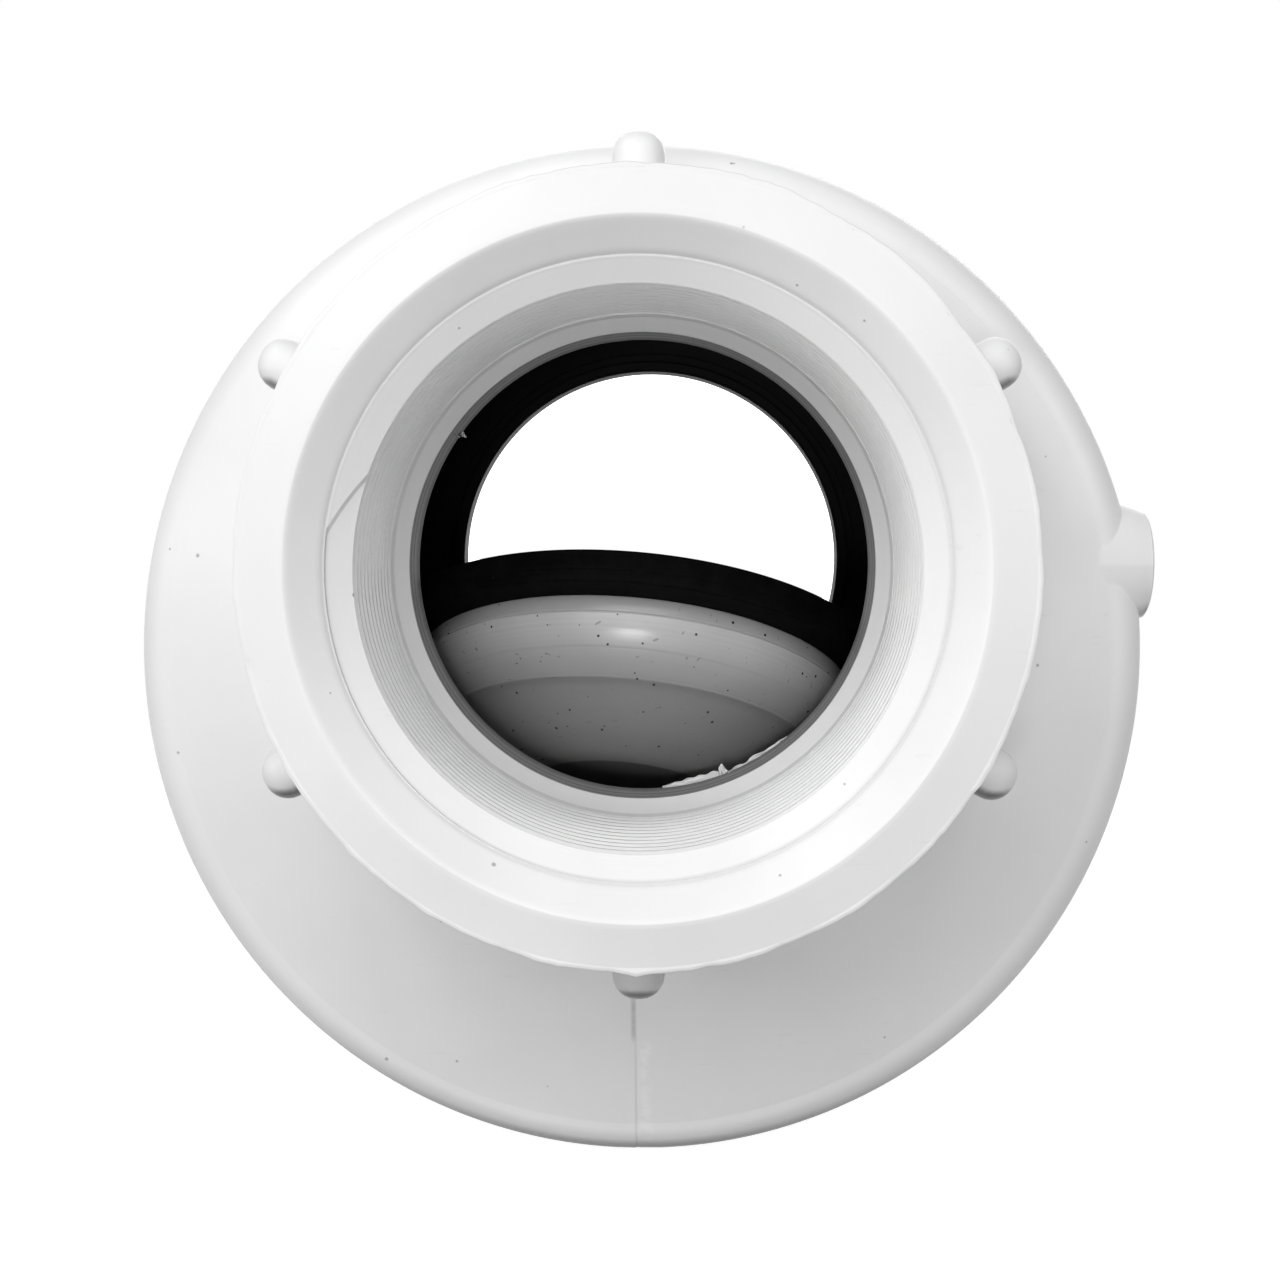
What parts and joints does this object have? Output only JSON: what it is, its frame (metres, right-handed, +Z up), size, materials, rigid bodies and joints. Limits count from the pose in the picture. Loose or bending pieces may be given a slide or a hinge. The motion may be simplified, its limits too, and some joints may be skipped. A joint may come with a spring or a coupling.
{
  "type": "swing non-return valve",
  "caption": "White PVC swing non-return valve with a wide offset bell, ribbed hubs, an internally threaded outlet, a plain cement socket inlet and a hinged flap on a black seat carrier.",
  "frame": {"origin": "on the port axis, at the first crest of the outlet thread, 8 mm inside the outlet's end face", "axes": "-Y points out of the outlet along the port, +Y points to the inlet against the flow, +Z is up as in the picture with the hinge at the bottom, +X is to the right seen from the outlet"},
  "size_m": [0.1296, 0.162, 0.1297],
  "materials": {
    "white_pvc": "injection moulded white PVC with a soft gloss",
    "black_plastic": "moulded black plastic, satin",
    "black_rubber": "smooth black rubber",
    "steel": "stainless steel, lightly brushed",
    "ivory_plastic": "machined acetal",
    "flap_pvc": "turned white PVC, polished by use, with fine scratches"
  },
  "bodies": {
    "body": {"outlet_body": "white_pvc", "inlet_body": "white_pvc", "seat_carrier": "black_plastic", "carrier_o_ring": "black_rubber", "carrier_screws": "steel", "hinge_pin": "steel", "pin_clip_left": "steel", "pin_clip_right": "steel"},
    "flap": {"hinge_bush_left": "ivory_plastic", "hinge_bush_right": "ivory_plastic", "flap_disc": "flap_pvc", "flap_seal": "black_rubber", "seal_clamp_plate": "flap_pvc", "clamp_washer": "steel", "clamp_screw": "steel"}
  },
  "joints": [
    {"name": "flap_swing", "type": "hinge", "parent": "body", "child": "flap", "pos_m": [-0.00412, 0.0947, -0.04361], "axis": [0.9956, 0, -0.0941], "range_deg": [-65.5, 0]}
  ]
}
